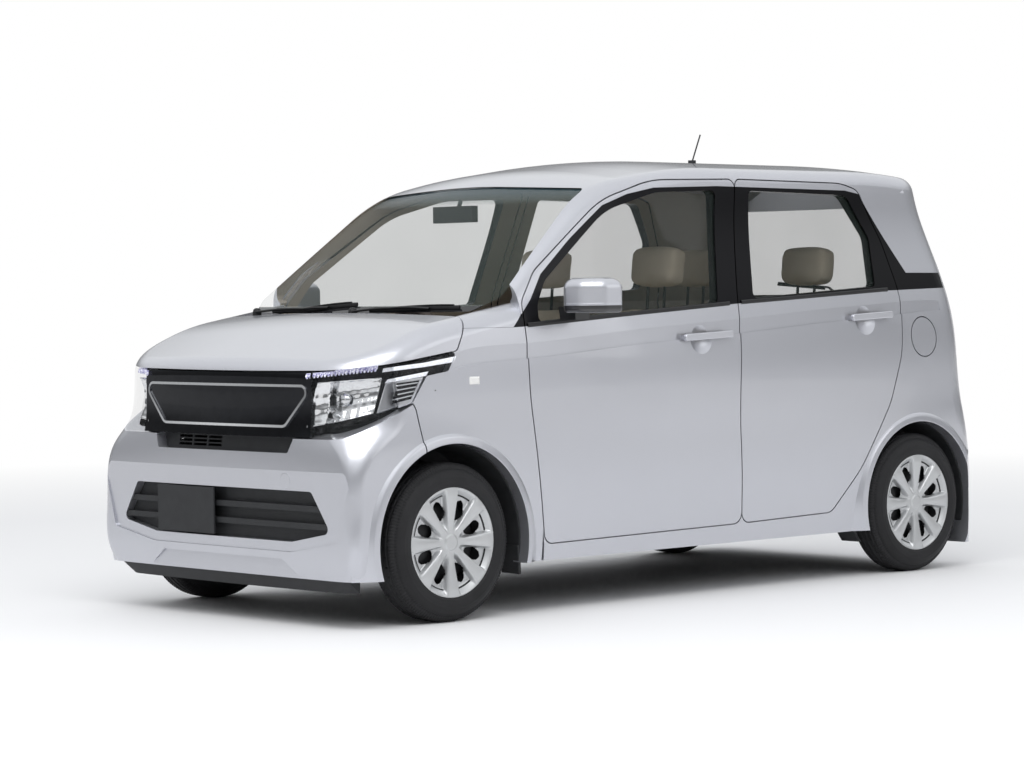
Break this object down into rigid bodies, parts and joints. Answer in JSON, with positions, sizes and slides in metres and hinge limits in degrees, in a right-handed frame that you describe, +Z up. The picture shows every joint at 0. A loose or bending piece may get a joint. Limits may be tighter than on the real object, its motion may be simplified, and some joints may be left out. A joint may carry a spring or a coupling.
{
  "type": "kei car",
  "caption": "Tall five-door kei car with a one-box cabin, short nose, wrapped headlamps, upright tail and small wheels under flared arches.",
  "frame": {"origin": "on the ground, midway between the two ends and the two sides", "axes": "+Z up, -Y towards the nose, +X towards the car's left side"},
  "size_m": [1.826, 3.3949, 1.7792],
  "materials": {
    "silver_paint": "metallic silver paint",
    "black_trim": "gloss black",
    "bright_trim": "bright plated trim",
    "dark_plastic": "grained dark plastic",
    "lamp_lens": "clear lens",
    "tail_lens": "red and clear lens",
    "window_glass": "green-tinted glass",
    "tyre": "black rubber",
    "wheel_cover": "silver painted",
    "steel": "dark chassis steel",
    "primer": "grey underbody paint",
    "beige_cloth": "beige woven cloth",
    "cabin_plastic": "soft dark cabin plastic"
  },
  "bodies": {
    "shell": {"body_side_left": "silver_paint", "body_side_right": "silver_paint", "roof_panel": "silver_paint", "windscreen": "window_glass", "front_fender_left": "silver_paint", "front_fender_right": "silver_paint", "front_bumper": "silver_paint", "chin_spoiler": "dark_plastic", "grille": "black_trim", "grille_frame": "bright_trim", "slot_grille": "dark_plastic", "lower_grille": "dark_plastic", "headlamp_left": "lamp_lens", "headlamp_right": "lamp_lens", "rear_bumper": "silver_paint", "tail_lamp_left": "tail_lens", "tail_lamp_right": "tail_lens", "floor_pan": "primer", "fuel_tank": "steel", "engine_bay": "primer", "engine_block": "steel", "front_suspension": "steel", "rear_axle": "steel", "exhaust": "steel", "dashboard": "cabin_plastic", "front_seat_left": "beige_cloth", "front_seat_right": "beige_cloth", "rear_seat": "beige_cloth", "cowl_panel": "dark_plastic", "wipers": "dark_plastic", "antenna": "dark_plastic", "inner_mirror": "dark_plastic"},
    "bonnet": {"bonnet": "silver_paint"},
    "tailgate": {"tailgate": "silver_paint", "tailgate_glass": "window_glass"},
    "fuel_lid": {"fuel_lid": "silver_paint"},
    "steering_wheel": {"steering_wheel": "cabin_plastic"},
    "front_door_left": {"front_door_left": "silver_paint", "front_door_glass_left": "window_glass", "mirror_left": "silver_paint"},
    "rear_door_left": {"rear_door_left": "silver_paint", "rear_door_glass_left": "window_glass"},
    "front_hub_left": {"front_knuckle_left": "steel"},
    "front_road_wheel_left": {"front_wheel_left": "wheel_cover", "front_tyre_left": "tyre"},
    "rear_road_wheel_left": {"rear_wheel_left": "wheel_cover", "rear_tyre_left": "tyre"},
    "front_door_right": {"front_door_right": "silver_paint", "front_door_glass_right": "window_glass", "mirror_right": "silver_paint"},
    "rear_door_right": {"rear_door_right": "silver_paint", "rear_door_glass_right": "window_glass"},
    "front_hub_right": {"front_knuckle_right": "steel"},
    "front_road_wheel_right": {"front_wheel_right": "wheel_cover", "front_tyre_right": "tyre"},
    "rear_road_wheel_right": {"rear_wheel_right": "wheel_cover", "rear_tyre_right": "tyre"}
  },
  "joints": [
    {"name": "steer_left", "type": "hinge", "parent": "shell", "child": "front_hub_left", "pos_m": [0.59, -1.236, 0.16], "axis": [-0.1291, 0, 0.9916], "range_deg": [-34, 34]},
    {"name": "front_spin_left", "type": "hinge", "parent": "front_hub_left", "child": "front_road_wheel_left", "pos_m": [0.65, -1.236, 0.27855], "axis": [1, 0, 0], "continuous": true},
    {"name": "rear_spin_left", "type": "hinge", "parent": "shell", "child": "rear_road_wheel_left", "pos_m": [0.65, 1.284, 0.27855], "axis": [1, 0, 0], "continuous": true},
    {"name": "front_door_hinge_left", "type": "hinge", "parent": "shell", "child": "front_door_left", "pos_m": [0.731, -0.857, 0.7], "axis": [0, 0, -1], "range_deg": [0, 65]},
    {"name": "rear_door_hinge_left", "type": "hinge", "parent": "shell", "child": "rear_door_left", "pos_m": [0.731, 0.229, 0.7], "axis": [0, 0, -1], "range_deg": [0, 70]},
    {"name": "steer_right", "type": "hinge", "parent": "shell", "child": "front_hub_right", "pos_m": [-0.59, -1.236, 0.16], "axis": [0.1291, 0, 0.9916], "range_deg": [-34, 34]},
    {"name": "front_spin_right", "type": "hinge", "parent": "front_hub_right", "child": "front_road_wheel_right", "pos_m": [-0.65, -1.236, 0.27855], "axis": [1, 0, 0], "continuous": true},
    {"name": "rear_spin_right", "type": "hinge", "parent": "shell", "child": "rear_road_wheel_right", "pos_m": [-0.65, 1.284, 0.27855], "axis": [1, 0, 0], "continuous": true},
    {"name": "front_door_hinge_right", "type": "hinge", "parent": "shell", "child": "front_door_right", "pos_m": [-0.731, -0.857, 0.7], "axis": [0, 0, 1], "range_deg": [0, 65]},
    {"name": "rear_door_hinge_right", "type": "hinge", "parent": "shell", "child": "rear_door_right", "pos_m": [-0.731, 0.229, 0.7], "axis": [0, 0, 1], "range_deg": [0, 70]},
    {"name": "bonnet_hinge", "type": "hinge", "parent": "shell", "child": "bonnet", "pos_m": [0, -1.165, 1.065], "axis": [-1, 0, 0], "range_deg": [0, 55]},
    {"name": "tailgate_hinge", "type": "hinge", "parent": "shell", "child": "tailgate", "pos_m": [0, 1.495, 1.59], "axis": [1, 0, 0], "range_deg": [0, 75]},
    {"name": "fuel_lid_hinge", "type": "hinge", "parent": "shell", "child": "fuel_lid", "pos_m": [0.722, 1.27, 0.946], "axis": [0, 0, -1], "range_deg": [0, 80]},
    {"name": "steering_turn", "type": "hinge", "parent": "shell", "child": "steering_wheel", "pos_m": [-0.33, -0.43, 0.925], "axis": [0, 0.9063, 0.4226], "range_deg": [-540, 540]}
  ],
  "couplings": [
    {"joint": "steer_right", "follows": "steer_left", "ratio": 1},
    {"joint": "steering_turn", "follows": "steer_left", "ratio": 15.8}
  ]
}
